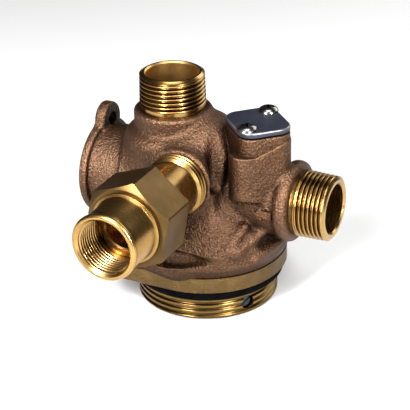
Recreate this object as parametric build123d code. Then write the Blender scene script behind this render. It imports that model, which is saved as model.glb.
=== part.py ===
from build123d import *
import math
import os

# Three way control valve of a water treatment tank, in millimetres.
# Origin: centre of the bottom of the tank thread. +Z up, +X out of the inlet
# port (also the piston axis), -Y out of the drain fitting.

os.makedirs("parts", exist_ok=True)

# Tank thread, its seal and the base flange
THREAD_R = 36.1
THREAD_H = 11.7
GROOVE_R = 33.6
GROOVE_TOP = 17.5
FLANGE_R = 41.0
FLANGE_TOP = 26.2
FOOT_LENGTH = 46.0
FOOT_CORNER = 14.0
BASE_CAVITY_R = 28.0
BASE_CAVITY_H = 20.0
TUBE_R = 13.4
SET_SCREW_ANGLE = -30.0
TUBE_TOP = 34.0

# Piston chamber
AXIS_Z = 58.4
CHAMBER_R = 17.0
CHAMBER_END = 31.0
BARREL_R = 27.5
BARREL_X = (-38.0, 17.0)
INLET_BARREL_R = 18.5
INLET_ROOT_X = 45.0
NECK_R = 22.5
HEAD_FACE_X = -60.5
HEAD_FLANGE_T = 4.5
LUG_T = 6.0
HEAD_FLANGE_R = 25.0
LUG_PCD = 50.8
LUG_ANGLE = 84.3
LUG_R = 8.8
LUG_HOLE_R = 3.3

# Ports: one inch taper pipe threads
PORT_R = 16.6
INLET_BORE_R = 12.2
INLET_END = 69.8
OUTLET_X = -15.7
OUTLET_Y = -3.5
OUTLET_BORE_R = 13.0
OUTLET_TOP = 118.0
MACHINED_LEN = 18.5
ROOT_R = 19.5
DOME_CENTRE = (-1, -2, 77)
DOME_R = 22.0

# Drain port and its flow control fitting
DRAIN_Z = 72.0
DRAIN_ROOT_Y = -29.0
DRAIN_TAIL_R = 11.0
DRAIN_TAIL_Y = -19.0
DRAIN_BORE_R = 6.0
COLLAR_R = 14.0
HEX_ACROSS = 40.0
HEX_Y = (-82.0, -59.5)
HEX_TURN = 20.0
MOUTH_Y = -103.0
MOUTH_R = 16.4
MOUTH_BORE_R = 12.6
MOUTH_DEPTH = 16.0

# Injector boss and its cover, turned 45 degrees from the ports
BOSS_CENTRE = (30.7, -4.2)
BOSS_SIZE = (26.5, 29.5)
BOSS_CORNER = 7.0
BOSS_BOTTOM = 60.0
BOSS_TOP = 96.8
GASKET_T = 0.8
COVER_T = 2.6
COVER_SCREW_OFFSET = 12.5
COVER_SCREW_R = 2.4
INJECTOR_R = 7.0
INJECTOR_BOTTOM = 78.5

# Seal stack, piston and rod
SEAL_PITCH = 16.5
SEAL_T = 4.0
SEAL_COUNT = 5
PISTON_R = 12.6
PISTON_X = (-14.0, 30.0)
ROD_R = 4.0
ROD_END_X = -58.5
RUNNING = 0.08
GAP = 0.05


def along_x(radius, x0, x1, y=0.0, z=AXIS_Z):
    return Pos((x0 + x1) / 2, y, z) * Rot(0, 90, 0) * Cylinder(radius, x1 - x0)


def along_y(radius, y0, y1, x=0.0, z=DRAIN_Z):
    return Pos(x, (y0 + y1) / 2, z) * Rot(90, 0, 0) * Cylinder(radius, y1 - y0)


def along_z(radius, z0, z1, x=0.0, y=0.0):
    return Pos(x, y, (z0 + z1) / 2) * Cylinder(radius, z1 - z0)


def cone_z(r0, r1, z0, z1, x=0.0, y=0.0):
    return Pos(x, y, (z0 + z1) / 2) * Cone(r0, r1, z1 - z0)


def boss_prism(z0, z1, shrink=0.0):
    outline = RectangleRounded(
        BOSS_SIZE[0] - 2 * shrink, BOSS_SIZE[1] - 2 * shrink, BOSS_CORNER - shrink
    )
    prism = extrude(outline, z1 - z0)
    return Pos(BOSS_CENTRE[0], BOSS_CENTRE[1], z0) * Rot(0, 0, 45) * prism


def cover_screw_places():
    return [
        (BOSS_CENTRE[0], BOSS_CENTRE[1] - COVER_SCREW_OFFSET),
        (BOSS_CENTRE[0], BOSS_CENTRE[1] + COVER_SCREW_OFFSET),
    ]


def lug_places():
    places = []
    for turn in (0, 180):
        angle = math.radians(LUG_ANGLE + turn)
        places.append(
            (LUG_PCD / 2 * math.cos(angle), AXIS_Z + LUG_PCD / 2 * math.sin(angle))
        )
    return places


def bell():
    """Bulging lower body between the base flange and the piston barrel."""
    wall = Spline(
        (FLANGE_R, FLANGE_TOP), (42.5, 31.0), (40.0, 44.0), (30.0, 58.0), (20.0, 72.0)
    )
    outline = wall + Polyline(
        (20.0, 72.0), (0.0, 72.0), (0.0, FLANGE_TOP), (FLANGE_R, FLANGE_TOP)
    )
    return revolve(Plane.XZ * make_face(outline), Axis.Z)


def flange_foot():
    """The base flange runs on towards the control head with straight sides."""
    length = FOOT_LENGTH + FOOT_CORNER
    outline = RectangleRounded(length, 2 * FLANGE_R, FOOT_CORNER)
    foot = extrude(outline, FLANGE_TOP - GROOVE_TOP)
    return Pos(FOOT_CORNER - length / 2, 0, GROOVE_TOP) * foot


def body_outside():
    body = Rot(0, 0, 10) * along_z(THREAD_R, 0, THREAD_H)
    body += along_z(GROOVE_R, THREAD_H, GROOVE_TOP)
    body += along_z(FLANGE_R, GROOVE_TOP, FLANGE_TOP)
    body += flange_foot()
    body += bell()
    body += along_x(BARREL_R, *BARREL_X)
    body += along_x(NECK_R, HEAD_FACE_X, BARREL_X[0])
    body += along_x(HEAD_FLANGE_R, HEAD_FACE_X, HEAD_FACE_X + HEAD_FLANGE_T)
    for y, z in lug_places():
        body += along_x(LUG_R, HEAD_FACE_X, HEAD_FACE_X + LUG_T, y, z)
    cast_top = OUTLET_TOP - MACHINED_LEN
    body += along_z(PORT_R, AXIS_Z, OUTLET_TOP, OUTLET_X, OUTLET_Y)
    body += along_z(ROOT_R, AXIS_Z, cast_top, OUTLET_X, OUTLET_Y)
    body += cone_z(27, ROOT_R, 76, 92, OUTLET_X, OUTLET_Y)
    cast_end = INLET_END - MACHINED_LEN
    body += along_x(PORT_R, BARREL_X[1], INLET_END)
    body += along_x(INLET_BARREL_R, BARREL_X[1] - 5, INLET_ROOT_X + 1)
    body += along_x(ROOT_R, INLET_ROOT_X, cast_end)
    body += Pos(*DOME_CENTRE) * Sphere(DOME_R)
    body += boss_prism(BOSS_BOTTOM, BOSS_TOP)
    body += along_y(16.5, DRAIN_ROOT_Y, 0)
    return body


def body_passages():
    """Everything bored out of the casting."""
    cuts = [
        along_x(CHAMBER_R, HEAD_FACE_X - 1, CHAMBER_END),
        along_x(INLET_BORE_R, CHAMBER_END - 1, INLET_END + 1),
        along_z(OUTLET_BORE_R, 84, OUTLET_TOP + 1, OUTLET_X, OUTLET_Y),
        Pos(OUTLET_X, OUTLET_Y, 78) * Box(11, 20, 16),
        along_y(DRAIN_TAIL_R + GAP, DRAIN_ROOT_Y - 1, DRAIN_TAIL_Y),
        along_y(DRAIN_BORE_R - 0.5, DRAIN_TAIL_Y - 1, -8),
        along_z(BASE_CAVITY_R, -1, BASE_CAVITY_H),
        along_z(TUBE_R, BASE_CAVITY_H - 1, TUBE_TOP),
        Pos(OUTLET_X, 0, TUBE_TOP) * Box(11, 20, 22),
        Pos(OUTLET_X / 2, 0, TUBE_TOP - 5) * Box(abs(OUTLET_X) + 4, 14, 9.8),
        Pos(-OUTLET_X, 0, 34) * Box(11, 20, 16),
        along_z(5.0, BASE_CAVITY_H - 1, 30, 22, 0),
        along_z(15.4, 24, 27.4),
        along_z(INJECTOR_R, INJECTOR_BOTTOM, BOSS_TOP + 1, *BOSS_CENTRE),
        along_z(2.0, 70, INJECTOR_BOTTOM + 1, *BOSS_CENTRE),
    ]
    for x, y in cover_screw_places():
        cuts.append(along_z(COVER_SCREW_R, BOSS_TOP - 12, BOSS_TOP + 1, x, y))
    for y, z in lug_places():
        cuts.append(along_x(LUG_HOLE_R, HEAD_FACE_X - 1, HEAD_FACE_X + LUG_T + 8, y, z))
    cuts.append(set_screw_hole(3.0, 24.0))
    return cuts


def set_screw_hole(radius, depth):
    """A radial cylinder in the tank thread, at the +X side of the drain."""
    tool = Pos(THREAD_R - depth / 2 + 1, 0, 6.0) * Rot(0, 90, 0) * Cylinder(radius, depth)
    return Rot(0, 0, SET_SCREW_ANGLE) * tool


def valve_body():
    body = body_outside()
    for cut in body_passages():
        body -= cut
    return body


def ring_z(outer, inner, z0, z1, x=0.0, y=0.0):
    return along_z(outer, z0, z1, x, y) - along_z(inner, z0 - 1, z1 + 1, x, y)


def ring_x(outer, inner, x0, x1):
    return along_x(outer, x0, x1) - along_x(inner, x0 - 1, x1 + 1)


def ring_y(outer, inner, y0, y1):
    return along_y(outer, y0, y1) - along_y(inner, y0 - 1, y1 + 1)


def tank_oring():
    minor = (GROOVE_TOP - THREAD_H) / 2 - GAP
    middle = (THREAD_H + GROOVE_TOP) / 2
    return Pos(0, 0, middle) * Torus(GROOVE_R + minor + GAP, minor)


def base_set_screw():
    """Slotted brass screw that closes the radial hole in the tank thread."""
    depth = 5.6
    outer = THREAD_R - 2.2
    screw = Pos(outer - depth / 2, 0, 6.0) * Rot(0, 90, 0) * Cylinder(2.9, depth)
    slot = Pos(outer, 0, 6.0) * Rot(30, 0, 0) * Box(2.4, 8, 1.0)
    return Rot(0, 0, SET_SCREW_ANGLE) * (screw - slot)


def drain_fitting():
    """Hexagonal adapter: threaded tail in the body, female mouth outside."""
    radius = HEX_ACROSS / math.sqrt(3)
    hexagon = extrude(RegularPolygon(radius, 6), HEX_Y[1] - HEX_Y[0])
    hexagon = Pos(0, HEX_Y[1], DRAIN_Z) * Rot(90, 0, 0) * Rot(0, 0, HEX_TURN) * hexagon
    front = Pos(0, HEX_Y[0] + 4, DRAIN_Z) * Rot(90, 0, 0) * Cone(radius + 3, radius - 3, 12)
    fitting = hexagon & (front + along_y(radius + 3, HEX_Y[0] + 4, HEX_Y[1] + 1))
    fitting += along_y(COLLAR_R, HEX_Y[1] - 1, DRAIN_ROOT_Y - 0.1)
    fitting += along_y(DRAIN_TAIL_R - 0.03, DRAIN_ROOT_Y - 2, DRAIN_TAIL_Y - 0.2)
    fitting += along_y(MOUTH_R - 0.6, MOUTH_Y, HEX_Y[0] + 2)
    fitting += along_y(MOUTH_R, MOUTH_Y, MOUTH_Y + 3)
    fitting -= along_y(MOUTH_BORE_R, MOUTH_Y - 1, MOUTH_Y + MOUTH_DEPTH)
    fitting -= along_y(MOUTH_BORE_R + 0.8, MOUTH_Y + MOUTH_DEPTH - 1, MOUTH_Y + MOUTH_DEPTH + 2)
    fitting -= along_y(9.5, MOUTH_Y + MOUTH_DEPTH, -56)
    return fitting - along_y(DRAIN_BORE_R, -57, -10)


def flow_control_button():
    """Soft washer whose hole sets the drain flow."""
    return ring_y(9.3, 2.2, -61.5, -56.1)


def flow_control_retainer():
    """Perforated disc that holds the soft washer in the fitting."""
    disc = along_y(9.4, -63.6, -61.6)
    disc -= along_y(2.6, -65, -60)
    for turn in range(0, 360, 60):
        angle = math.radians(turn)
        disc -= along_y(1.4, -65, -60, 6 * math.cos(angle), DRAIN_Z + 6 * math.sin(angle))
    return disc


def injector_gasket():
    gasket = boss_prism(BOSS_TOP, BOSS_TOP + GASKET_T, 0.3)
    gasket -= along_z(INJECTOR_R, BOSS_TOP - 1, BOSS_TOP + 2, *BOSS_CENTRE)
    for x, y in cover_screw_places():
        gasket -= along_z(COVER_SCREW_R + 0.3, BOSS_TOP - 1, BOSS_TOP + 2, x, y)
    return gasket


def injector_cover():
    bottom = BOSS_TOP + GASKET_T
    cover = boss_prism(bottom, bottom + COVER_T)
    cover = chamfer(cover.faces().sort_by(Axis.Z)[-1].edges(), 0.6)
    for x, y in cover_screw_places():
        cover -= along_z(COVER_SCREW_R + 0.3, bottom - 1, bottom + 4, x, y)
    return cover


def pan_screw(x, y, seat_z, length):
    """Domed screw with a cross recess, standing on seat_z."""
    head = Pos(x, y, seat_z) * (Pos(0, 0, -2.2) * Sphere(5.2) & along_z(4.7, 0.02, 3.2))
    screw = head + along_z(COVER_SCREW_R - 0.05, seat_z - length, seat_z + 0.5, x, y)
    for turn in (20, 110):
        screw -= Pos(x, y, seat_z + 3.0) * Rot(0, 0, turn) * Box(4.6, 1.0, 2.4)
    return screw


def cover_screws():
    seat = BOSS_TOP + GASKET_T + COVER_T
    screws = [pan_screw(x, y, seat, 12.0) for x, y in cover_screw_places()]
    return Compound(children=screws)


def injector_nozzle():
    """Upper jet of the brine injector."""
    bottom = INJECTOR_BOTTOM + 7.5
    nozzle = ring_z(INJECTOR_R - GAP, 1.2, bottom, bottom + 2, *BOSS_CENTRE)
    return nozzle + ring_z(3.0, 1.2, bottom - 3, bottom + 0.5, *BOSS_CENTRE)


def injector_throat():
    """Lower venturi of the brine injector."""
    bottom = INJECTOR_BOTTOM + GAP
    throat = ring_z(INJECTOR_R - GAP, 1.8, bottom, bottom + 2, *BOSS_CENTRE)
    return throat + ring_z(4.5, 1.8, bottom + 1.5, bottom + 4, *BOSS_CENTRE)


def injector_screen():
    """Thin strainer cup above the nozzle."""
    bottom = INJECTOR_BOTTOM + 9.6
    screen = ring_z(5.6, 4.8, bottom, BOSS_TOP - 1, *BOSS_CENTRE)
    return screen + along_z(5.6, BOSS_TOP - 1.5, BOSS_TOP - 0.5, *BOSS_CENTRE)


def seal_x(index):
    """Middle of a seal ring: the galleries are centred between the seals."""
    return OUTLET_X + (index - 1.5) * SEAL_PITCH


def seal_ring(index):
    middle = seal_x(index)
    return ring_x(
        CHAMBER_R - GAP, PISTON_R + RUNNING, middle - SEAL_T / 2, middle + SEAL_T / 2
    )


def spacer(index):
    """Ported sleeve between two seal rings."""
    x0 = seal_x(index) + SEAL_T / 2 + GAP
    x1 = seal_x(index + 1) - SEAL_T / 2 - GAP
    sleeve = ring_x(CHAMBER_R - GAP, 14.4, x0, x1)
    middle = (x0 + x1) / 2
    for turn in range(0, 180, 45):
        sleeve -= Pos(middle, 0, AXIS_Z) * Rot(turn, 0, 0) * Box(7, 5.6, 40)
    return sleeve


def end_plug():
    """Plug that closes the chamber and guides the rod."""
    x1 = seal_x(0) - SEAL_T / 2 - GAP
    plug = along_x(CHAMBER_R - GAP, x1 - 12, x1)
    plug -= ring_x(CHAMBER_R + 1, CHAMBER_R - 2.4, x1 - 8, x1 - 5)
    plug -= along_x(ROD_R + 0.06, x1 - 13, x1 + 1)
    return plug - along_x(7.0, x1 - 13, x1 - 8)


def end_plug_oring():
    middle = seal_x(0) - SEAL_T / 2 - GAP - 6.5
    ring = Torus(CHAMBER_R - 1.25, 1.1)
    return Pos(middle, 0, AXIS_Z) * Rot(0, 90, 0) * ring


def rod_seal():
    x0 = seal_x(0) - SEAL_T / 2 - GAP - 11.9
    return ring_x(6.9, ROD_R + 0.06, x0, x0 + 3.8)


def retaining_ring():
    x1 = seal_x(0) - SEAL_T / 2 - GAP - 12.1
    return ring_x(CHAMBER_R - GAP, 13.0, x1 - 1.6, x1)


def piston():
    """Two lands joined by a waist, with a socket for the rod."""
    body = along_x(PISTON_R, *PISTON_X)
    body -= ring_x(PISTON_R + 1, 8.5, PISTON_X[0] + 14, PISTON_X[1] - 14)
    body -= along_x(ROD_R + GAP, PISTON_X[0] - 1, PISTON_X[0] + 12)
    return body - along_z(1.55, AXIS_Z - 20, AXIS_Z + 20, PISTON_X[0] + 6)


def piston_rod():
    rod = along_x(ROD_R, ROD_END_X, PISTON_X[0] + 11.9)
    rod -= along_z(1.55, AXIS_Z - 20, AXIS_Z + 20, PISTON_X[0] + 6)
    return rod - along_y(1.5, -10, 10, ROD_END_X + 4, AXIS_Z)


def rod_pin():
    return along_z(1.5, AXIS_Z - 11.5, AXIS_Z + 11.5, PISTON_X[0] + 6)


def distributor_oring():
    return Pos(0, 0, 25.7) * Torus(14.2, 0.95)


parts = {
    "valve_body": valve_body(),
    "tank_oring": tank_oring(),
    "base_set_screw": base_set_screw(),
    "distributor_oring": distributor_oring(),
    "drain_fitting": drain_fitting(),
    "flow_control_button": flow_control_button(),
    "flow_control_retainer": flow_control_retainer(),
    "injector_cover": injector_cover(),
    "injector_gasket": injector_gasket(),
    "cover_screws": cover_screws(),
    "injector_nozzle": injector_nozzle(),
    "injector_throat": injector_throat(),
    "injector_screen": injector_screen(),
    "end_plug": end_plug(),
    "end_plug_oring": end_plug_oring(),
    "rod_seal": rod_seal(),
    "retaining_ring": retaining_ring(),
    "piston": piston(),
    "piston_rod": piston_rod(),
    "rod_pin": rod_pin(),
}
for index in range(SEAL_COUNT):
    parts[f"seal_ring_{index + 1}"] = seal_ring(index)
for index in range(SEAL_COUNT - 1):
    parts[f"spacer_{index + 1}"] = spacer(index)

for name, shape in parts.items():
    export_step(shape, f"parts/{name}.step")
    print(name, len(shape.solids()), round(shape.volume))
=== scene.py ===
"""Three way valve: cast bronze body, turned threads, brass drain fitting, cover and screws."""

import math

import bmesh
import bpy
import numpy as np
from mathutils import Matrix, Vector
from mathutils.bvhtree import BVHTree


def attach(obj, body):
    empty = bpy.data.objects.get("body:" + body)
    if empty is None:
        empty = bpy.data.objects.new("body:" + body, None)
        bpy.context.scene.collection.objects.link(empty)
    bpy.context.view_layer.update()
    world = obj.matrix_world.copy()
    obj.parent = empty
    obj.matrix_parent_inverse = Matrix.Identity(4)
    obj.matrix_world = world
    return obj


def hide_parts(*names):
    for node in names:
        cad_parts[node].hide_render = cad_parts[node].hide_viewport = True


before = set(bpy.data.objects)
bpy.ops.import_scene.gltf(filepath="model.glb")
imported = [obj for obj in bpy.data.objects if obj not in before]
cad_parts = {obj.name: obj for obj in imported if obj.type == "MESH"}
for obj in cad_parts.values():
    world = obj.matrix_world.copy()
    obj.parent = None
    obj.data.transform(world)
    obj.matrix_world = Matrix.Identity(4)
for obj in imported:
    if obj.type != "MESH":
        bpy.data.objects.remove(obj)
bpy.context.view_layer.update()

MM = 0.001
BODY = "housing"

# Driving dimensions in millimetres. Those that the CAD nodes share agree with them to 0.5 mm.
# +X leaves the inlet, -Y leaves the drain fitting, +Z is up the outlet.
TANK_R = 36.1
TANK_THREAD_TOP = 11.7
CAVITY_R = 28.0
CAVITY_TOP = 20.0
DISTRIBUTOR_R = 13.4
SEAT_R = 33.7
SEAT_Z = 17.5
BAND_TOP = 26.2
BAND_R = 41.0
FOOT_X = -46.0
FOOT_CORNER = 14.0
AXIS_Z = 58.4
BARREL_R = 27.5
BARREL_X = (-38.0, 17.0)
INLET_BARREL_R = 18.5
DOME = (-1.0, -2.0, 77.0)
DOME_R = 22.0
NECK_R = 22.5
CHAMBER_R = 17.0
CHAMBER_END = 31.0
HEAD_X = -60.5
HEAD_T = 4.5
LUG_T = 6.0
HEAD_R = 25.0
LUG_RADIUS = 8.8
LUG_ANGLE = 84.3
LUG_CIRCLE = 25.4
LUG_HOLE_R = 3.3
PORT_R = 16.6
PIPE_PITCH = 25.4 / 11.5
PIPE_THREAD_DEPTH = 1.35
PIPE_TAPER = 0.03
PIPE_THREAD_LENGTH = 15.6
TANK_PITCH = 25.4 / 8
TANK_THREAD_DEPTH = 0.9
MOUTH_PITCH = 25.4 / 14
MOUTH_THREAD_DEPTH = 1.5
INLET_END = 69.8
INLET_BORE = 12.2
OUTLET_X = -15.7
OUTLET_Y = -3.5
OUTLET_TOP = 118.0
OUTLET_BORE = 13.0
MACHINED = 18.5
INLET_ROOT_END = INLET_END - MACHINED - 0.2
ROOT_R = 19.5
DRAIN_Z = 72.0
DRAIN_ROOT = 29.0
DRAIN_BOSS_R = 16.5
DRAIN_TAIL = 19.2
DRAIN_TAIL_R = 10.9
SHANK_R = 13.8
SNOUT_R = 15.7
HEX_FRONT = 82.0
HEX_BACK = 59.5
HEX_CORNER_R = 23.0
HEX_TURN = 20.0
MOUTH = 103.0
MOUTH_R = 16.4
MOUTH_BORE = 12.6
DRAIN_BORE = 9.5
ORIFICE_R = 6.0
BOSS = (30.7, -4.2)
BOSS_HALF = (13.25, 14.75)
BOSS_CORNER = 7.0
BOSS_BOTTOM = 60.0
BOSS_TOP = 96.8
BOSS_SINK = 16.0
UNDERSIDE_Z = 61.5
LEDGE_Z = 88.0
PAD_SHIFT = 1.5
PAD_PROUD = (2.1, 1.3)
COVER_BOTTOM = 97.6
COVER_T = 2.6
COVER_SCREW = 12.5
SET_SCREW_ANGLE = -30.0
SET_SCREW_Z = 6.0
SET_SCREW_R = 3.5

# Grid that the casting is sampled on, and what shapes its lower half
VOXEL = 0.6
GRID_LOW = (-63, -46, 14)
GRID_HIGH = (56, 46, 104)
BELL_BOTTOM = 19.0
BELL_TOP = 73.0
BELL_HEIGHTS = [0, BAND_TOP - 0.4, 31, 38, 46, 54, 62, 70, 200]
BELL_RADII = [BAND_R - 0.6, BAND_R - 0.6, 42.6, 42.2, 38.5, 32, 25, 17, 17]
OUTER_WALL = 24.0
LEAF_AZIMUTH = -95.0
LEAF_Z = 36.4
LEAF_HALF = (27.0, 5.8)
LEAF_DEPTH = 2.4
# Azimuth, height, half width and height, depth
DENTS = [
    (-36, 43.0, (5.5, 5.5), 1.1),
    (-18, 39.5, (8.5, 4.5), 1.5),
]
RIB_R = 1.5
RIBS = [
    ((30.5, -20.0, 49.5), (26.0, -30.0, 40.5)),
    ((37.0, -15.0, 45.5), (29.5, -28.5, 39.0)),
    ((43.5, -2.0, 37.5), (36.5, -20.5, 33.5)),
]
RISER_GROOVE = ((16.5, -22.5, 71.0), (13.5, -14.0, 99.0))
RISER_GROOVE_R = 4.0

# Place of the arrow's tip along X and Z, and its outline from there
ARROW_TIP = (35.4, 57.9)
ARROW_OUTLINE = [(0, 0), (3.8, 4.1), (3.8, 2.0), (9.2, 2.0), (9.2, -2.0), (3.8, -2.0), (3.8, -4.1)]
ARROW_HEIGHT = 1.0
ARROW_ROOT = 0.8


# ---------------------------------------------------------------- materials

# How far painted shade spreads out of a corner, in metres
SKIN_SHADE_REACH = 0.055
BRASS_SHADE_REACH = 0.004


def new_material(name):
    material = bpy.data.materials.new(name)
    material.use_nodes = True
    nodes = material.node_tree.nodes
    links = material.node_tree.links
    return material, nodes, links, nodes["Principled BSDF"]


def noise(nodes, links, scale, detail=4.0, rough=0.55, vector=None):
    """Noise in object space; scale is in cycles a metre."""
    node = nodes.new("ShaderNodeTexNoise")
    node.inputs["Scale"].default_value = scale
    node.inputs["Detail"].default_value = detail
    node.inputs["Roughness"].default_value = rough
    if vector is None:
        vector = nodes.new("ShaderNodeTexCoord").outputs["Object"]
    links.new(vector, node.inputs["Vector"])
    return node.outputs["Fac"]


def ramp(nodes, links, value, stops):
    """Colour ramp; stops are (position, (r, g, b))."""
    node = nodes.new("ShaderNodeValToRGB")
    elements = node.color_ramp.elements
    while len(elements) < len(stops):
        elements.new(0.5)
    for element, (position, colour) in zip(elements, stops):
        element.position = position
        element.color = (*colour, 1.0)
    links.new(value, node.inputs["Fac"])
    return node.outputs["Color"]


def spread(nodes, links, value, low, high):
    """Maps 0..1 onto low..high."""
    node = nodes.new("ShaderNodeMapRange")
    node.inputs["To Min"].default_value = low
    node.inputs["To Max"].default_value = high
    links.new(value, node.inputs["Value"])
    return node.outputs["Result"]


def bump(nodes, links, height, strength, distance, normal=None):
    node = nodes.new("ShaderNodeBump")
    node.inputs["Strength"].default_value = strength
    node.inputs["Distance"].default_value = distance
    links.new(height, node.inputs["Height"])
    if normal is not None:
        links.new(normal, node.inputs["Normal"])
    return node.outputs["Normal"]


def crease_shade_and_edge_mask(nodes):
    """Pointiness: above 0.5 on convex edges, below it in corners, where it masks painted shade."""
    return nodes.new("ShaderNodeNewGeometry").outputs["Pointiness"]


def blend(nodes, links, a, b, mode="MIX", amount=None):
    """Blends two colours, all the way if no amount is given."""
    node = nodes.new("ShaderNodeMix")
    node.data_type = "RGBA"
    node.blend_type = mode
    node.inputs["Factor"].default_value = 1.0
    if amount is not None:
        links.new(amount, node.inputs["Factor"])
    links.new(a, node.inputs["A"])
    links.new(b, node.inputs["B"])
    return node.outputs["Result"]


def painted_occlusion_shade(nodes, links, colour, reach):
    """Darkens a colour in corners and hollows narrower than reach: painted shade from ambient occlusion.
    """
    occlusion_node = nodes.new("ShaderNodeAmbientOcclusion")
    occlusion_node.samples = 6
    occlusion_node.inputs["Distance"].default_value = reach
    shade = ramp(nodes, links, occlusion_node.outputs["AO"], [
        (0.25, (0.15, 0.11, 0.08)),
        (0.92, (1.0, 1.0, 1.0)),
    ])
    return blend(nodes, links, colour, shade, "MULTIPLY")


def cast_bronze():
    """Sand-cast skin: brown-pink, grainy, paler on high spots, with painted shade in its corners and
    hollows.
    """
    material, nodes, links, shader = new_material("cast_bronze_skin")
    grain = noise(nodes, links, 1500, 4, 0.6)
    sand = noise(nodes, links, 900, 2, 0.5)
    patches = noise(nodes, links, 38, 3, 0.5)
    skin = ramp(nodes, links, patches, [
        (0.30, (0.066, 0.035, 0.019)),
        (0.50, (0.088, 0.048, 0.027)),
        (0.70, (0.112, 0.063, 0.038)),
    ])
    worn = ramp(nodes, links, patches, [
        (0.3, (0.20, 0.120, 0.073)),
        (0.7, (0.27, 0.168, 0.108)),
    ])
    high_spots = ramp(nodes, links, grain, [
        (0.48, (0.0, 0.0, 0.0)),
        (0.72, (0.75, 0.75, 0.75)),
    ])
    # Painted shade darkens concave creases; sharp convex edges turn paler
    corners = ramp(nodes, links, crease_shade_and_edge_mask(nodes), [
        (0.44, (0.22, 0.16, 0.12)),
        (0.495, (1.0, 1.0, 1.0)),
        (0.55, (1.45, 1.4, 1.35)),
    ])
    coat = blend(nodes, links, skin, worn, amount=high_spots)
    coat = blend(nodes, links, coat, corners, "MULTIPLY")
    # Painted shade: ambient occlusion darkens the skin in corners and hollows
    links.new(painted_occlusion_shade(nodes, links, coat, SKIN_SHADE_REACH), shader.inputs["Base Color"])
    shader.inputs["Metallic"].default_value = 0.85
    links.new(spread(nodes, links, grain, 0.28, 0.54), shader.inputs["Roughness"])
    coarse = bump(nodes, links, sand, 1.0, 0.0007)
    links.new(bump(nodes, links, grain, 0.8, 0.0003, coarse), shader.inputs["Normal"])
    return material


def machined_brass(name, dark, light, along, roughness, marks=5200.0, pits=0.0):
    """Turned brass: fine rings across the turning axis, faint staining, and cast pits if any."""
    material, nodes, links, shader = new_material(name)
    place = nodes.new("ShaderNodeTexCoord").outputs["Object"]
    stretch = nodes.new("ShaderNodeMapping")
    scale = [0.02, 0.02, 0.02]
    scale["XYZ".index(along)] = 1.0
    stretch.inputs["Scale"].default_value = scale
    links.new(place, stretch.inputs["Vector"])
    rings = noise(nodes, links, marks, 3, 0.6, stretch.outputs["Vector"])
    stain = noise(nodes, links, 70, 5, 0.6)
    tone = ramp(nodes, links, stain, [(0.3, dark), (0.7, light)])
    # Painted shade darkens concave creases; sharp convex edges turn paler
    corners = ramp(nodes, links, crease_shade_and_edge_mask(nodes), [
        (0.40, (0.42, 0.34, 0.25)),
        (0.50, (1.0, 1.0, 1.0)),
        (0.58, (1.15, 1.15, 1.12)),
    ])
    tone = blend(nodes, links, tone, corners, "MULTIPLY")
    # Painted shade: ambient occlusion darkens the brass in narrow corners
    links.new(painted_occlusion_shade(nodes, links, tone, BRASS_SHADE_REACH), shader.inputs["Base Color"])
    shader.inputs["Metallic"].default_value = 1.0
    links.new(
        spread(nodes, links, rings, roughness - 0.07, roughness + 0.09),
        shader.inputs["Roughness"],
    )
    pitted = bump(nodes, links, noise(nodes, links, 1300, 3), pits, 0.0006)
    links.new(bump(nodes, links, rings, 0.18, 0.0001, pitted), shader.inputs["Normal"])
    return material


def rubber():
    """Black moulded rubber with a faint bloom."""
    material, nodes, links, shader = new_material("black_rubber")
    bloom = noise(nodes, links, 260, 4)
    tone = ramp(nodes, links, bloom, [
        (0.35, (0.002, 0.002, 0.002)),
        (0.75, (0.005, 0.005, 0.006)),
    ])
    links.new(tone, shader.inputs["Base Color"])
    shader.inputs["Specular IOR Level"].default_value = 0.03
    links.new(spread(nodes, links, bloom, 0.6, 0.8), shader.inputs["Roughness"])
    links.new(bump(nodes, links, noise(nodes, links, 2600), 0.2, 0.00005), shader.inputs["Normal"])
    return material


def cover_coating(name, dark, light, metallic, roughness):
    """Slate coating of the cover plate, or the paler metal of its rolled edge."""
    material, nodes, links, shader = new_material(name)
    cloud = noise(nodes, links, 90, 5)
    tone = ramp(nodes, links, cloud, [(0.3, dark), (0.7, light)])
    links.new(tone, shader.inputs["Base Color"])
    shader.inputs["Metallic"].default_value = metallic
    links.new(
        spread(nodes, links, cloud, roughness - 0.05, roughness + 0.08),
        shader.inputs["Roughness"],
    )
    links.new(bump(nodes, links, noise(nodes, links, 1500), 0.12, 0.00006), shader.inputs["Normal"])
    return material


def bright_steel():
    """Plated steel with faint scratches."""
    material, nodes, links, shader = new_material("bright_steel")
    cloud = noise(nodes, links, 300, 5)
    tone = ramp(nodes, links, cloud, [
        (0.3, (0.19, 0.185, 0.18)),
        (0.7, (0.32, 0.31, 0.30)),
    ])
    # Painted shade darkens concave creases
    corners = ramp(nodes, links, crease_shade_and_edge_mask(nodes), [
        (0.42, (0.25, 0.24, 0.22)),
        (0.5, (1.0, 1.0, 1.0)),
    ])
    links.new(blend(nodes, links, tone, corners, "MULTIPLY"), shader.inputs["Base Color"])
    shader.inputs["Metallic"].default_value = 1.0
    links.new(spread(nodes, links, cloud, 0.16, 0.34), shader.inputs["Roughness"])
    links.new(bump(nodes, links, noise(nodes, links, 1900), 0.1, 0.00006), shader.inputs["Normal"])
    return material


def moulded_plastic():
    """Grey engineering plastic with a fine matte texture."""
    material, nodes, links, shader = new_material("moulded_plastic")
    cloud = noise(nodes, links, 200, 4)
    tone = ramp(nodes, links, cloud, [
        (0.3, (0.06, 0.06, 0.065)),
        (0.7, (0.10, 0.10, 0.11)),
    ])
    links.new(tone, shader.inputs["Base Color"])
    links.new(spread(nodes, links, cloud, 0.42, 0.58), shader.inputs["Roughness"])
    links.new(bump(nodes, links, noise(nodes, links, 3000), 0.15, 0.00005), shader.inputs["Normal"])
    return material


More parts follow.
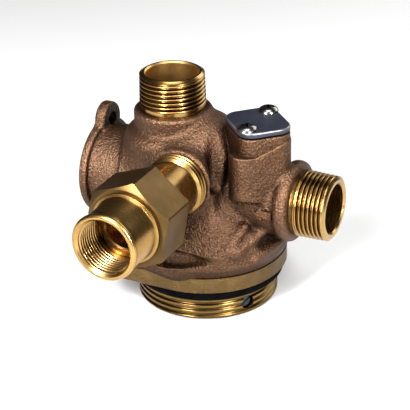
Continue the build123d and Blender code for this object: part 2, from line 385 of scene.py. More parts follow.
def floor_paint():
    """Plain pale floor."""
    material, nodes, links, shader = new_material("pale_floor")
    tone = ramp(nodes, links, noise(nodes, links, 2, 2), [
        (0.3, (0.55, 0.55, 0.55)),
        (0.7, (0.57, 0.57, 0.57)),
    ])
    links.new(tone, shader.inputs["Base Color"])
    shader.inputs["Roughness"].default_value = 0.8
    return material


GOLD_DARK = (0.31, 0.195, 0.070)
GOLD_LIGHT = (0.44, 0.285, 0.112)
materials = {
    "skin": cast_bronze(),
    "gold_x": machined_brass("turned_brass_x", GOLD_DARK, GOLD_LIGHT, "X", 0.25),
    "gold_y": machined_brass("turned_brass_y", GOLD_DARK, GOLD_LIGHT, "Y", 0.27),
    "gold_z": machined_brass("turned_brass_z", GOLD_DARK, GOLD_LIGHT, "Z", 0.23),
    # The hexagon's brass is painted far darker than the barrel's: painted shade on its flats
    "hex": machined_brass("shaded_milled_brass", (0.088, 0.055, 0.022), (0.140, 0.089, 0.036), "Y", 0.42, 2600),
    "band": machined_brass("aged_band", (0.17, 0.110, 0.038), (0.25, 0.165, 0.062), "Z", 0.22),
    "flange": machined_brass(
        "cast_flange", (0.085, 0.055, 0.024), (0.16, 0.105, 0.048), "Z", 0.40, pits=0.8
    ),
    # Bore and mouth: paler copies of the turned brass, painted light inside the bores
    "bore": machined_brass("lit_bored_brass", (0.40, 0.250, 0.095), (0.58, 0.375, 0.155), "Z", 0.36),
    "mouth": machined_brass("lit_tapped_brass", (0.40, 0.250, 0.100), (0.58, 0.380, 0.165), "Y", 0.27),
    "rubber": rubber(),
    "cover": cover_coating("slate_cover", (0.012, 0.013, 0.020), (0.020, 0.022, 0.032), 0.0, 0.40),
    "cover_edge": cover_coating("pale_rim_metal", (0.12, 0.125, 0.145), (0.24, 0.245, 0.27), 0.8, 0.30),
    "steel": bright_steel(),
    "plastic": moulded_plastic(),
}


# ------------------------------------------------------------- mesh helpers

def new_piece(name, points, faces, material, node, smooth_angle=35.0):
    """A mesh piece from points in millimetres, standing for a CAD node."""
    mesh = bpy.data.meshes.new(name)
    mesh.from_pydata((np.asarray(points) * MM).tolist(), [], faces)
    mesh.materials.append(materials[material])
    piece = bpy.data.objects.new(name, mesh)
    bpy.context.scene.collection.objects.link(piece)
    shape = bmesh.new()
    shape.from_mesh(mesh)
    bmesh.ops.recalc_face_normals(shape, faces=shape.faces)
    shape.to_mesh(mesh)
    shape.free()
    mesh.shade_smooth()
    mesh.set_sharp_from_angle(angle=math.radians(smooth_angle))
    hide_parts(node)
    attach(piece, BODY)
    return piece


def smooth_step(value):
    value = np.clip(value, 0, 1)
    return value * value * (3 - 2 * value)


def ring_faces(rows, columns):
    """Quads of a closed tube whose last row joins its first."""
    faces = []
    for row in range(rows):
        above = (row + 1) % rows
        for column in range(columns):
            beside = (column + 1) % columns
            faces.append((
                row * columns + column,
                row * columns + beside,
                above * columns + beside,
                above * columns + column,
            ))
    return faces


def place_x(radius, angle, height):
    return height, radius * np.cos(angle), AXIS_Z + radius * np.sin(angle)


def place_drain(radius, angle, height):
    return radius * np.cos(angle), -height + 0 * angle, DRAIN_Z + radius * np.sin(angle)


def place_z(x, y):
    def place(radius, angle, height):
        return x + radius * np.cos(angle), y + radius * np.sin(angle), height
    return place


def turned(name, rows, place, material, node, columns=144, smooth_angle=35.0, solid=False):
    """A closed turned part. Each row is (radius, height), and either may vary by angle.

    A solid part has flat caps on its first and last rows; any other is a closed tube.
    """
    angle = np.arange(columns) * 2 * math.pi / columns
    points = []
    for radius, height in rows:
        radius = radius(angle) if callable(radius) else radius
        height = height(angle) if callable(height) else height
        spot = place(radius + 0 * angle, angle, height + 0 * angle)
        points.append(np.stack([part + 0 * angle for part in spot], axis=-1))
    faces = ring_faces(len(rows), columns)
    if solid:
        faces = faces[:-columns]
        faces.append(tuple(range(columns)))
        faces.append(tuple(range(len(points) * columns - 1, (len(points) - 1) * columns - 1, -1)))
    return new_piece(name, np.concatenate(points), faces, material, node, smooth_angle)


def coat_faces(piece, chosen, material):
    """Gives the faces whose centres are chosen a second material."""
    piece.data.materials.append(materials[material])
    for face in piece.data.polygons:
        if chosen(face.center / MM):
            face.material_index = 1


def cut_away(piece, shape):
    """Takes a bmesh shape away from a piece, and leaves a plain mesh."""
    mesh = bpy.data.meshes.new("tool")
    shape.to_mesh(mesh)
    shape.free()
    tool = bpy.data.objects.new("tool", mesh)
    bpy.context.scene.collection.objects.link(tool)
    hole = piece.modifiers.new("hole", "BOOLEAN")
    hole.operation = "DIFFERENCE"
    hole.object = tool
    hole.solver = "EXACT"
    bpy.context.view_layer.update()
    seen = piece.evaluated_get(bpy.context.evaluated_depsgraph_get())
    result = bpy.data.meshes.new_from_object(seen)
    piece.modifiers.clear()
    piece.data = result
    bpy.data.objects.remove(tool)


def thread_rows(start, end, radius, pitch, depth, taper=0.0, lead=1.2, crest=0.06):
    """Rows of a helical thread, its depth fading at each end; crest is the flat share of a pitch."""
    rows_a_pitch = 20
    steps = int(round((end - start) / pitch * rows_a_pitch))
    rows = []
    for step in range(steps + 1):
        height = start + (end - start) * step / steps
        fade = min(1.0, (height - start) / lead + 0.05, (end - height) / lead + 0.05)

        def wall(angle, height=height, fade=fade):
            phase = height / pitch - angle / (2 * math.pi)
            wave = np.abs(2 * (phase - np.floor(phase)) - 1)
            cut = smooth_step((wave - crest) / (0.94 - crest))
            return radius - taper * (height - start) - depth * fade * cut

        rows.append((wall, height))
    return rows


def outline_radius(angle, inside, near, far):
    """Radius at each angle where an outline passes, found by halving between near and far."""
    low, high = np.full_like(angle, near), np.full_like(angle, far)
    for _ in range(24):
        middle = (low + high) / 2
        within = inside(middle)
        low = np.where(within, middle, low)
        high = np.where(within, high, middle)
    return low


# ---------------------------------------------------------- cast body, as a distance field

class Field:
    """Distance to the casting on a regular grid, joined with cast fillets."""

    def __init__(self, low, high, step):
        self.low = np.array(low, float)
        self.step = step
        axes = [np.arange(a, b + step, step, dtype=np.float32) for a, b in zip(low, high)]
        self.x = axes[0][:, None, None]
        self.y = axes[1][None, :, None]
        self.z = axes[2][None, None, :]
        self.value = np.full([len(axis) for axis in axes], 60.0, np.float32)

    def add(self, shape, fillet=3.0):
        mixed = np.clip(0.5 + 0.5 * (self.value - shape) / fillet, 0, 1)
        self.value = self.value * (1 - mixed) + shape * mixed - fillet * mixed * (1 - mixed)

    def cut(self, shape, fillet=1.0):
        mixed = np.clip(0.5 - 0.5 * (self.value + shape) / fillet, 0, 1)
        self.value = self.value * (1 - mixed) - shape * mixed + fillet * mixed * (1 - mixed)

    def rounded(self, across, beyond, edge):
        """Joins a distance across the axis with one beyond the ends, with rounded edges."""
        outside = np.hypot(np.maximum(across + edge, 0), np.maximum(beyond + edge, 0))
        return np.minimum(np.maximum(across, beyond) + edge, 0) + outside - edge

    def along_x(self, radius, start, end, y=0.0, z=AXIS_Z, edge=1.0):
        across = np.hypot(self.y - y, self.z - z) - radius
        beyond = np.abs(self.x - (start + end) / 2) - (end - start) / 2
        return self.rounded(across, beyond, edge)

    def along_y(self, radius, start, end, x=0.0, z=DRAIN_Z, edge=1.0):
        across = np.hypot(self.x - x, self.z - z) - radius
        beyond = np.abs(self.y - (start + end) / 2) - (end - start) / 2
        return self.rounded(across, beyond, edge)

    def along_z(self, radius, start, end, x=0.0, y=0.0, edge=1.0):
        across = np.hypot(self.x - x, self.y - y) - radius
        beyond = np.abs(self.z - (start + end) / 2) - (end - start) / 2
        return self.rounded(across, beyond, edge)

    def block(self, centre, half, start, end, turn=0.0, corner=2.0, edge=1.0):
        """Upright prism with rounded corners, turned about Z."""
        c = math.cos(math.radians(turn))
        s = math.sin(math.radians(turn))
        u = (self.x - centre[0]) * c + (self.y - centre[1]) * s
        v = (self.y - centre[1]) * c - (self.x - centre[0]) * s
        reach_u = np.abs(u) - half[0] + corner
        reach_v = np.abs(v) - half[1] + corner
        outside = np.hypot(np.maximum(reach_u, 0), np.maximum(reach_v, 0))
        across = outside + np.minimum(np.maximum(reach_u, reach_v), 0) - corner
        beyond = np.abs(self.z - (start + end) / 2) - (end - start) / 2
        return self.rounded(across, beyond, edge)

    def ball(self, centre, radius):
        across = (self.x - centre[0]) ** 2 + (self.y - centre[1]) ** 2
        return np.sqrt(across + (self.z - centre[2]) ** 2) - radius

    def capsule(self, start, end, radius):
        a = np.array(start, float)
        along = np.array(end, float) - a
        length = float(along @ along)
        px, py, pz = self.x - a[0], self.y - a[1], self.z - a[2]
        part = np.clip((px * along[0] + py * along[1] + pz * along[2]) / length, 0, 1)
        dx, dy, dz = px - part * along[0], py - part * along[1], pz - part * along[2]
        return np.sqrt(dx * dx + dy * dy + dz * dz) - radius

    def bell(self):
        """Bulging lower body: its radius follows a curve with height."""
        radius = np.interp(self.z, BELL_HEIGHTS, BELL_RADII).astype(np.float32)
        across = (np.hypot(self.x, self.y) - radius) * 0.8
        beyond = np.abs(self.z - (BELL_BOTTOM + BELL_TOP) / 2) - (BELL_TOP - BELL_BOTTOM) / 2
        return self.rounded(across, beyond, 1.0)

    def edges(self, axis):
        """Grid edges along an axis: which cross the surface, which start inside, and how far along."""
        first = [slice(None)] * 3
        second = [slice(None)] * 3
        first[axis] = slice(0, -1)
        second[axis] = slice(1, None)
        a, b = self.value[tuple(first)], self.value[tuple(second)]
        starts_inside = a < 0
        crossing = starts_inside != (b < 0)
        part = np.where(crossing, a / np.where(crossing, a - b, 1), 0)
        return crossing, starts_inside, part

    def cell_points(self, edges, cells):
        """One point in each cell that the surface crosses, and each cell's point number."""
        total = np.zeros(cells + (3,), np.float32)
        count = np.zeros(cells, np.float32)
        for axis, (crossing, _, part) in enumerate(edges):
            others = [other for other in range(3) if other != axis]
            for du in (0, 1):
                for dv in (0, 1):
                    pick = [slice(None)] * 3
                    pick[others[0]] = slice(du, cells[others[0]] + du)
                    pick[others[1]] = slice(dv, cells[others[1]] + dv)
                    here = crossing[tuple(pick)]
                    count += here
                    total[..., axis] += part[tuple(pick)]
                    total[..., others[0]] += here * du
                    total[..., others[1]] += here * dv
        used = count > 0
        number = np.full(cells, -1, np.int64)
        number[used] = np.arange(int(used.sum()))
        points = (np.argwhere(used) + total[used] / count[used][:, None]) * self.step + self.low
        return points, number

    def cell_quads(self, edges, cells, number):
        """A quad round each crossing edge, through the points of its four cells."""
        quads = []
        for axis, (crossing, starts_inside, _) in enumerate(edges):
            u, v = [other for other in range(3) if other != axis]
            spots = np.argwhere(crossing)
            keep = (spots[:, u] > 0) & (spots[:, v] > 0)
            keep &= (spots[:, u] < cells[u]) & (spots[:, v] < cells[v])
            spots = spots[keep]
            loop = []
            for du, dv in ((-1, -1), (0, -1), (0, 0), (-1, 0)):
                near = spots.copy()
                near[:, u] += du
                near[:, v] += dv
                loop.append(number[near[:, 0], near[:, 1], near[:, 2]])
            quad = np.stack(loop, axis=1)
            flip = starts_inside[spots[:, 0], spots[:, 1], spots[:, 2]] == (axis == 1)
            quad[flip] = quad[flip][:, ::-1]
            quads.append(quad)
        return np.concatenate(quads)

    def surface(self):
        """Points and quads of the zero surface."""
        cells = tuple(n - 1 for n in self.value.shape)
        edges = [self.edges(axis) for axis in range(3)]
        points, number = self.cell_points(edges, cells)
        return points, self.cell_quads(edges, cells, number)


def lug_place(turn):
    angle = math.radians(LUG_ANGLE + turn)
    return LUG_CIRCLE * math.cos(angle), AXIS_Z + LUG_CIRCLE * math.sin(angle)


def leaf_recess(field):
    """Long leaf-shaped hollow low on the front, with pointed ends and a crisp lip."""
    angle = np.arctan2(field.y, field.x) - math.radians(LEAF_AZIMUTH)
    along = np.abs(np.arctan2(np.sin(angle), np.cos(angle))) * BAND_R
    far = along / LEAF_HALF[0] + ((field.z - LEAF_Z) / LEAF_HALF[1]) ** 2
    near_wall = np.hypot(field.x, field.y) > OUTER_WALL
    field.value += LEAF_DEPTH * smooth_step(2.6 * (1 - far)) * near_wall


def dent(field, azimuth, height, half, depth):
    """Presses an oval hollow into the bell."""
    angle = np.arctan2(field.y, field.x) - math.radians(azimuth)
    along = np.arctan2(np.sin(angle), np.cos(angle)) * BAND_R
    far = np.hypot(along / half[0], (field.z - height) / half[1])
    near_wall = np.hypot(field.x, field.y) > OUTER_WALL
    field.value += depth * smooth_step(1.2 * (1 - far)) * near_wall


def injector_boss(field):
    """Upright boss with a sloping underside; its lower front stands proud below a ledge."""
    across = (field.x - BOSS[0] + field.y - BOSS[1]) * math.sqrt(0.5)
    outward = (field.x - BOSS[0] - field.y + BOSS[1]) * math.sqrt(0.5)
    bottom = UNDERSIDE_Z - 0.245 * across + 0.36 * (outward - 13)
    ledge = LEDGE_Z + np.clip(across + 6.5, 0, 14) * 0.39
    start = BOSS_BOTTOM - BOSS_SINK
    prism = field.block(BOSS, BOSS_HALF, start, BOSS_TOP, 45, BOSS_CORNER, 0.5)
    pad_centre = [middle - PAD_SHIFT for middle in BOSS]
    pad_half = [half + proud for half, proud in zip(BOSS_HALF, PAD_PROUD)]
    pad = field.block(pad_centre, pad_half, start, BOSS_TOP, 45, BOSS_CORNER, 0.5)
    pad = np.maximum(pad, (field.z - ledge) * 0.9)
    pad = np.maximum(pad, 6 - outward)
    return np.maximum(np.minimum(prism, pad), (bottom - field.z) * 0.9)


def main_barrels(field):
    """The bell on its foot, the barrel, dome and neck across it, and the roots of the ports."""
    add = field.add
    add(field.bell(), 1.0)
    foot_half = ((FOOT_CORNER - FOOT_X) / 2, BAND_R)
    foot_centre = ((FOOT_CORNER + FOOT_X) / 2, 0)
    add(field.block(foot_centre, foot_half, BAND_TOP - 0.4, BAND_TOP + 3, 0, FOOT_CORNER, 1.5), 5)
    add(field.along_x(BARREL_R, *BARREL_X, edge=3.0), 5.0)
    add(field.ball(DOME, DOME_R), 4)
    add(field.along_x(NECK_R, HEAD_X + 1, BARREL_X[0] + 4, edge=0.5), 1.5)
    add(field.along_z(ROOT_R + 5, 70, 90, OUTLET_X, OUTLET_Y, edge=6), 6)
    add(field.along_z(ROOT_R, 70, OUTLET_TOP - MACHINED, OUTLET_X, OUTLET_Y, edge=1.6), 2.5)
    add(field.along_x(INLET_BARREL_R, 10, INLET_ROOT_END, edge=1.6), 3.0)
    add(field.along_y(DRAIN_BOSS_R, -DRAIN_ROOT, 0, edge=1.5), 4)


def low_pockets(field):
    """The leaf recess, and the dents with their ribs below the boss."""
    leaf_recess(field)
    for azimuth, height, half, depth in DENTS:
        dent(field, azimuth, height, half, depth)
    for start, end in RIBS:
        field.add(field.capsule(start, end, RIB_R), 3.6)


def head_flange(field):
    """Flange of the control head with its two lugs and their holes, faced flat."""
    add, cut = field.add, field.cut
    add(field.along_x(HEAD_R - 2.6, HEAD_X, HEAD_X + HEAD_T + 2.2, edge=1.2), 1.0)
    add(field.along_x(HEAD_R, HEAD_X, HEAD_X + HEAD_T, edge=1.2), 0.8)
    for turn in (0, 180):
        y, z = lug_place(turn)
        add(field.along_x(LUG_RADIUS, HEAD_X, HEAD_X + LUG_T, y, z, edge=1.4), 2.5)
        cut(field.along_x(LUG_HOLE_R, HEAD_X - 1, HEAD_X + LUG_T + 8, y, z, edge=0.2), 0.8)
    cut(field.along_x(HEAD_R + 20, HEAD_X - 8, HEAD_X, edge=0.1), 0.3)


def port_bores(field):
    """Piston chamber and ports. Ports are 1 mm oversize, because turned pieces line them."""
    cut = field.cut
    cut(field.along_x(CHAMBER_R, HEAD_X - 2, CHAMBER_END, edge=0.5), 0.5)
    cut(field.along_x(INLET_BORE + 1, CHAMBER_END - 1, 60, edge=0.2), 0.5)
    cut(field.along_z(OUTLET_BORE + 1, 60, 110, OUTLET_X, OUTLET_Y, edge=0.2), 0.5)
    cut(field.along_y(DRAIN_TAIL_R + 0.15, -DRAIN_ROOT - 3, -15, edge=0.2), 0.5)
    cut(field.along_z(CAVITY_R, 10, CAVITY_TOP, edge=0.2), 0.5)
    cut(field.along_z(DISTRIBUTOR_R, 19, 34, edge=0.2), 0.5)
    cut(field.along_z(7, 78.5, 99, *BOSS, edge=0.2), 0.5)


def casting():
    """The cast skin of the valve body, open where its ports are bored."""
    field = Field(GRID_LOW, GRID_HIGH, VOXEL)
    main_barrels(field)
    low_pockets(field)
    field.cut(field.capsule(*RISER_GROOVE, RISER_GROOVE_R), 3.0)
    field.add(injector_boss(field), 0.8)
    ring_start = INLET_ROOT_END - 6.3
    field.add(field.along_x(ROOT_R + 0.8, ring_start, INLET_ROOT_END, edge=2.6), 2.5)
    head_flange(field)
    port_bores(field)
    points, quads = field.surface()
    return new_piece("cast_skin", points, quads.tolist(), "skin", "valve_body", 50)


def arrow_loop():
    """The arrow's outline as close points, so that it can bend with the skin."""
    spacing = 0.8
    loop = []
    for corner, (x0, z0) in enumerate(ARROW_OUTLINE):
        x1, z1 = ARROW_OUTLINE[(corner + 1) % len(ARROW_OUTLINE)]
        pieces = max(1, int(math.hypot(x1 - x0, z1 - z0) / spacing))
        for k in range(pieces):
            loop.append((x0 + (x1 - x0) * k / pieces, z0 + (z1 - z0) * k / pieces))
    return loop


def flow_arrow(skin):
    """Raised arrow cast on the inlet, pointing into the body; it follows the skin."""
    tree = BVHTree.FromObject(skin, bpy.context.evaluated_depsgraph_get())
    top, foot = [], []
    for x, z in arrow_loop():
        start = Vector((ARROW_TIP[0] + x, GRID_LOW[1] + 1, ARROW_TIP[1] + z)) * MM
        spot = tree.ray_cast(start, Vector((0, 1, 0)))[0] / MM
        top.append((spot.x, spot.y - ARROW_HEIGHT, spot.z))
        foot.append((spot.x, spot.y + ARROW_ROOT, spot.z))
    count = len(top)
    sides = [(k, (k + 1) % count, count + (k + 1) % count, count + k) for k in range(count)]
    caps = [tuple(range(count)), tuple(range(2 * count - 1, count - 1, -1))]
    arrow = new_piece("flow_arrow", top + foot, sides + caps, "skin", "valve_body")
    shape = bmesh.new()
    shape.from_mesh(arrow.data)
    bmesh.ops.triangulate(shape, faces=[face for face in shape.faces if len(face.verts) > 4])
    shape.to_mesh(arrow.data)
    shape.free()


flow_arrow(casting())


# --------------------------------------------------------------- turned parts of the body

def pipe_port(name, place, bore, end, material):
    """Male pipe thread with its plain collar, chamfers and bore."""
    collar = end - MACHINED
    thread_start = end - PIPE_THREAD_LENGTH
    rows = [
        (bore, collar - 6),
        (PORT_R - 0.3, collar - 6),
        (PORT_R - 0.3, collar + 0.6),
        (PORT_R - 0.3, thread_start - 0.4),
    ]
    rows += thread_rows(thread_start, end - 0.9, PORT_R, PIPE_PITCH, PIPE_THREAD_DEPTH, PIPE_TAPER)
    rows += [
        (PORT_R - 1.7, end - 0.25),
        (PORT_R - 2.0, end),
        (bore + 0.7, end),
        (bore, end - 0.8),
        (bore, (collar + end) / 2),
    ]
    return turned(name, rows, place, material, "valve_body")


def in_outlet_bore(spot):
    return math.hypot(spot.x - OUTLET_X, spot.y - OUTLET_Y) < OUTLET_BORE + 0.6


def in_drain_mouth(spot):
    return math.hypot(spot.x, spot.z - DRAIN_Z) < MOUTH_BORE + 1.0


def on_flange(spot):
    return spot.z > SEAT_Z - 0.1


def foot_wall(inset):
    """Radius by angle of the flange: round, with a straight-sided foot towards -X."""

    def wall(angle):
        c, s = np.cos(angle), np.sin(angle)

        def inside(radius):
            over_x = np.maximum(np.maximum(FOOT_X + FOOT_CORNER - radius * c, radius * c), 0)
            over_y = np.maximum(np.abs(radius * s) - BAND_R + FOOT_CORNER, 0)
            return np.hypot(over_x, over_y) < FOOT_CORNER - inset

        return outline_radius(angle, inside, BAND_R - inset, 90.0)

    return wall


def drill_set_screw(base):
    """Cross hole of the set screw in the tank thread."""
    drill = bmesh.new()
    bmesh.ops.create_cone(
        drill, cap_ends=True, segments=48,
        radius1=SET_SCREW_R * MM, radius2=SET_SCREW_R * MM, depth=14 * MM,
    )
    angle = math.radians(SET_SCREW_ANGLE)
    out = Vector((math.cos(angle), math.sin(angle), 0))
    turn = out.to_track_quat("Z", "Y").to_matrix().to_4x4()
    place = Matrix.Translation(out * TANK_R * MM + Vector((0, 0, SET_SCREW_Z * MM)))
    drill.transform(place @ turn)
    cut_away(base, drill)


def tank_base():
    """Tank thread, O-ring groove and the machined band of the base flange."""
    rows = [(CAVITY_R, CAVITY_TOP), (CAVITY_R, 0.6), (CAVITY_R + 0.6, 0), (TANK_R - 2.0, 0)]
    rows += thread_rows(
        0.7, TANK_THREAD_TOP - 0.3, TANK_R, TANK_PITCH, TANK_THREAD_DEPTH, lead=1.6, crest=0.3
    )
    rows += [
        (TANK_R - 0.2, TANK_THREAD_TOP),
        (SEAT_R, TANK_THREAD_TOP),
        (SEAT_R, SEAT_Z),
        (foot_wall(0.6), SEAT_Z),
        (foot_wall(0), SEAT_Z + 0.6),
        (foot_wall(0), BAND_TOP - 0.2),
        (foot_wall(1.5), BAND_TOP),
        (30, BAND_TOP),
    ]
    base = turned("tank_base", rows, place_z(0, 0), "band", "valve_body", 180)
    drill_set_screw(base)
    coat_faces(base, on_flange, "flange")


pipe_port("inlet_thread", place_x, INLET_BORE, INLET_END, "gold_x")
outlet = pipe_port("outlet_thread", place_z(OUTLET_X, OUTLET_Y), OUTLET_BORE, OUTLET_TOP, "gold_z")
# The outlet bore takes the paler brass: painted light inside it
coat_faces(outlet, in_outlet_bore, "bore")
tank_base()


# --------------------------------------------------------------------- drain fitting

def hex_radius(angle):
    """Distance from the axis to the flats of the hexagon, with slightly broken corners."""
    sixth = math.pi / 3
    turn = (angle - math.radians(HEX_TURN)) % sixth - sixth / 2
    flats = HEX_CORNER_R * math.cos(sixth / 2) / np.cos(turn)
    return np.minimum(flats, HEX_CORNER_R - 0.25)


def drain_hexagon():
    """Hexagon with its turned front chamfer."""
    small = HEX_CORNER_R * math.cos(math.pi / 6) - 0.4
    slope = 1.5

    def chamfer_height(angle):
        return HEX_FRONT - (hex_radius(angle) - small) / slope

    rows = [
        (10, HEX_FRONT - 0.1),
        (small - 0.4, HEX_FRONT),
        (small, HEX_FRONT - 0.15),
        (hex_radius, chamfer_height),
        (hex_radius, HEX_BACK + 0.3),
        (lambda angle: hex_radius(angle) - 0.3, HEX_BACK),
        (10, HEX_BACK),
    ]
    # The hexagon takes the darker brass: painted shade on its flats
    turned("drain_hex", rows, place_drain, "hex", "drain_fitting", 288, 18)


def drain_outside():
    """Rows from the tail in the body to the mouth: collar, root grooves, shank, snout and bead."""
    rows = [(ORIFICE_R, DRAIN_TAIL), (DRAIN_TAIL_R, DRAIN_TAIL), (DRAIN_TAIL_R, DRAIN_ROOT)]
    rows += [(14.2, DRAIN_ROOT + 0.1), (15.2, DRAIN_ROOT + 0.7), (15.3, DRAIN_ROOT + 1.7)]
    for groove in (2.3, 4.6):
        rows += [
            (14.0, DRAIN_ROOT + groove),
            (14.0, DRAIN_ROOT + groove + 0.6),
            (15.2, DRAIN_ROOT + groove + 1.0),
            (15.2, DRAIN_ROOT + groove + 1.6),
        ]
    rows += [
        (SHANK_R, DRAIN_ROOT + 7.4),
        (SHANK_R, HEX_BACK - 0.3),
        (SHANK_R, HEX_FRONT - 4),
        (17.6, HEX_FRONT - 0.5),
        (17.4, HEX_FRONT + 0.6),
        (16.2, HEX_FRONT + 1.0),
        (SNOUT_R, HEX_FRONT + 1.8),
        (SNOUT_R, MOUTH - 5.2),
    ]
    for step in range(9):
        angle = math.pi * (step / 8 - 0.5)
        rows.append((MOUTH_R - 1.5 + 1.5 * math.cos(angle), MOUTH - 1.6 + 1.6 * math.sin(angle)))
    return rows


def drain_inside():
    """Rows from the mouth back to the orifice: inner thread, relief and bore."""
    rows = [(MOUTH_BORE + 1.7, MOUTH), (MOUTH_BORE + 0.6, MOUTH - 1.0)]
    thread = thread_rows(
        MOUTH - 16.5, MOUTH - 1.3,
        MOUTH_BORE + MOUTH_THREAD_DEPTH, MOUTH_PITCH, MOUTH_THREAD_DEPTH,
    )
    rows += reversed(thread)
    rows += [
        (MOUTH_BORE + 0.9, MOUTH - 16.8),
        (MOUTH_BORE + 0.9, MOUTH - 19),
        (DRAIN_BORE + 0.7, MOUTH - 19.2),
        (DRAIN_BORE, MOUTH - 20),
        (DRAIN_BORE, 56.2),
        (ORIFICE_R, 56.0),
    ]
    return rows


def drain_barrel():
    """Everything turned on the fitting, in one closed tube."""
    rows = drain_outside() + drain_inside()
    barrel = turned("drain_barrel", rows, place_drain, "gold_y", "drain_fitting")
    # The drain mouth takes the paler brass: painted light inside it
    coat_faces(barrel, in_drain_mouth, "mouth")


drain_hexagon()
drain_barrel()


# ------------------------------------------------------------- injector cover and its screws

def boss_outline(inset):
    """Radius by angle of the boss's rounded square, turned 45 degrees."""

    def wall(angle):
        c, s = np.abs(np.cos(angle - math.pi / 4)), np.abs(np.sin(angle - math.pi / 4))

        def inside(radius):
            over_u = np.maximum(radius * c - BOSS_HALF[0] + BOSS_CORNER, 0)
            over_v = np.maximum(radius * s - BOSS_HALF[1] + BOSS_CORNER, 0)
            return np.hypot(over_u, over_v) < BOSS_CORNER - inset

        return outline_radius(angle, inside, 0.0, 30.0)

    return wall


def injector_cover():
    """Cover plate with a rolled top edge; the edge is a paler metal."""
    top = COVER_BOTTOM + COVER_T
    rows = [(boss_outline(0.25), COVER_BOTTOM), (boss_outline(0), COVER_BOTTOM + 0.25)]
    edge = 0.8
    for step in range(6):
        angle = math.pi / 2 * step / 5
        inset = edge * (1 - math.cos(angle))
        rows.append((boss_outline(inset), top - edge + edge * math.sin(angle)))
    rows.append((boss_outline(1.2), top))
    plate = turned(
        "cover_plate", rows, place_z(*BOSS), "cover", "injector_cover", 200, 40, True
    )
    plate.data.materials.append(materials["cover_edge"])
    for face in plate.data.polygons:
        middle = face.center.z / MM
        if top - edge < middle < top - 0.02:
            face.material_index = 1


def pan_head(name, y):
    """Pan head with a washer rim and a deep cross recess."""
    seat = COVER_BOTTOM + COVER_T
    rim = 4.75
    start = math.radians(18)
    rows = [(4.9, seat), (5.0, seat + 0.35), (rim, seat + 0.8)]
    for step in range(9):
        angle = math.radians(18 + 68 * step / 8)
        radius = rim * math.cos(angle) / math.cos(start)
        rows.append((radius, seat + 0.25 + 2.5 * math.sin(angle)))
    head = turned(
        name, rows, place_z(BOSS[0], y), "steel", "cover_screws", 96, 30, True
    )
    for turn in (20, 110):
        slot = bmesh.new()
        bmesh.ops.create_cube(slot, size=1.0)
        size = Matrix.Diagonal((5.4 * MM, 1.15 * MM, 3.6 * MM, 1))
        spot = Matrix.Translation((BOSS[0] * MM, y * MM, (seat + 2.9) * MM))
        slot.transform(spot @ Matrix.Rotation(math.radians(turn), 4, "Z") @ size)
        cut_away(head, slot)


injector_cover()
pan_head("front_cover_screw", BOSS[1] - COVER_SCREW)
pan_head("back_cover_screw", BOSS[1] + COVER_SCREW)


# -------------------------------------------------- carried-over CAD nodes get materials

def repaint(node, material):
    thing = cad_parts[node]
    for slot_index in range(len(thing.material_slots)):
        thing.material_slots[slot_index].material = materials[material]


FINISHES = {
    "rubber": ["tank_oring", "distributor_oring", "flow_control_button", "injector_gasket",
               "end_plug_oring", "rod_seal"] + [f"seal_ring_{n}" for n in range(1, 6)],
    "plastic": ["injector_nozzle", "injector_throat", "injector_screen", "end_plug"]
               + [f"spacer_{n}" for n in range(1, 5)],
    "steel": ["piston_rod", "rod_pin", "retaining_ring"],
    "gold_x": ["piston"],
    "cover": ["base_set_screw"],
    "gold_y": ["flow_control_retainer"],
}
for finish, nodes_with_it in FINISHES.items():
    for node_name in nodes_with_it:
        repaint(node_name, finish)


# ------------------------------------------------------------------- studio and camera

CAMERA_PLACE = (0.2859, -0.5631, 0.3652)
CAMERA_AZIMUTH = 27.0
CAMERA_PITCH = 26.8
CAMERA_ROLL = -1.3
LENS = 121.9

# Name, azimuth and elevation in degrees, distance and size in metres, watts
LIGHTS = [
    ("right_strip", -32, 32, 0.95, (0.10, 0.60), 14.0),
    ("left_strip", -98, 36, 0.95, (0.15, 0.60), 19.0),
    ("back", 68, 32, 0.95, (0.70, 0.45), 2.6),
    ("overhead", -60, 80, 1.90, (1.00, 1.00), 16.0),
]


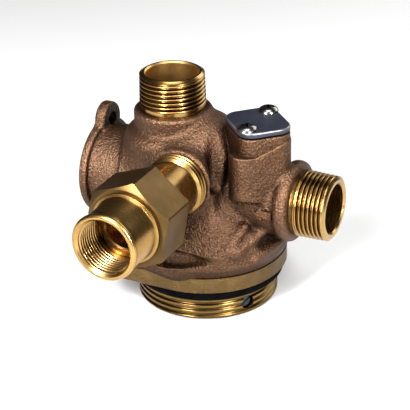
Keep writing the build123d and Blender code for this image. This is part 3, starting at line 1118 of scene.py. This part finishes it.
def add_camera():
    data = bpy.data.cameras.new("camera")
    data.lens = LENS
    data.sensor_width = 36
    data.clip_start = 0.02
    camera = bpy.data.objects.new("camera", data)
    bpy.context.scene.collection.objects.link(camera)
    turn = Matrix.Rotation(math.radians(CAMERA_AZIMUTH), 4, "Z")
    tilt = Matrix.Rotation(math.radians(90 - CAMERA_PITCH), 4, "X")
    roll = Matrix.Rotation(math.radians(CAMERA_ROLL), 4, "Z")
    camera.matrix_world = Matrix.Translation(CAMERA_PLACE) @ turn @ tilt @ roll
    bpy.context.scene.camera = camera


def add_light(name, place, target, size, power):
    data = bpy.data.lights.new(name, "AREA")
    data.shape = "RECTANGLE"
    data.size, data.size_y = size
    data.energy = power
    light = bpy.data.objects.new(name, data)
    bpy.context.scene.collection.objects.link(light)
    light.location = place
    aim = Vector(target) - Vector(place)
    light.rotation_euler = aim.to_track_quat("-Z", "Y").to_euler()


def add_floor():
    mesh = bpy.data.meshes.new("floor")
    reach = 6.0
    corners = [(-reach, -reach, 0), (reach, -reach, 0), (reach, reach, 0), (-reach, reach, 0)]
    mesh.from_pydata(corners, [], [(0, 1, 2, 3)])
    mesh.materials.append(floor_paint())
    floor = bpy.data.objects.new("floor", mesh)
    bpy.context.scene.collection.objects.link(floor)


def add_world():
    world = bpy.data.worlds.new("studio")
    world.use_nodes = True
    background = world.node_tree.nodes["Background"]
    background.inputs["Color"].default_value = (1.0, 0.98, 0.95, 1.0)
    background.inputs["Strength"].default_value = 0.05
    bpy.context.scene.world = world


add_camera()
add_floor()
add_world()
MIDDLE = (0.0, 0.0, 0.06)
for light_name, azimuth, elevation, distance, size, power in LIGHTS:
    flat = distance * math.cos(math.radians(elevation))
    spot = (
        flat * math.cos(math.radians(azimuth)),
        flat * math.sin(math.radians(azimuth)),
        distance * math.sin(math.radians(elevation)),
    )
    add_light(light_name, spot, MIDDLE, size, power)
bpy.context.scene.view_settings.view_transform = "Standard"
bpy.context.scene.view_settings.look = "Medium High Contrast"
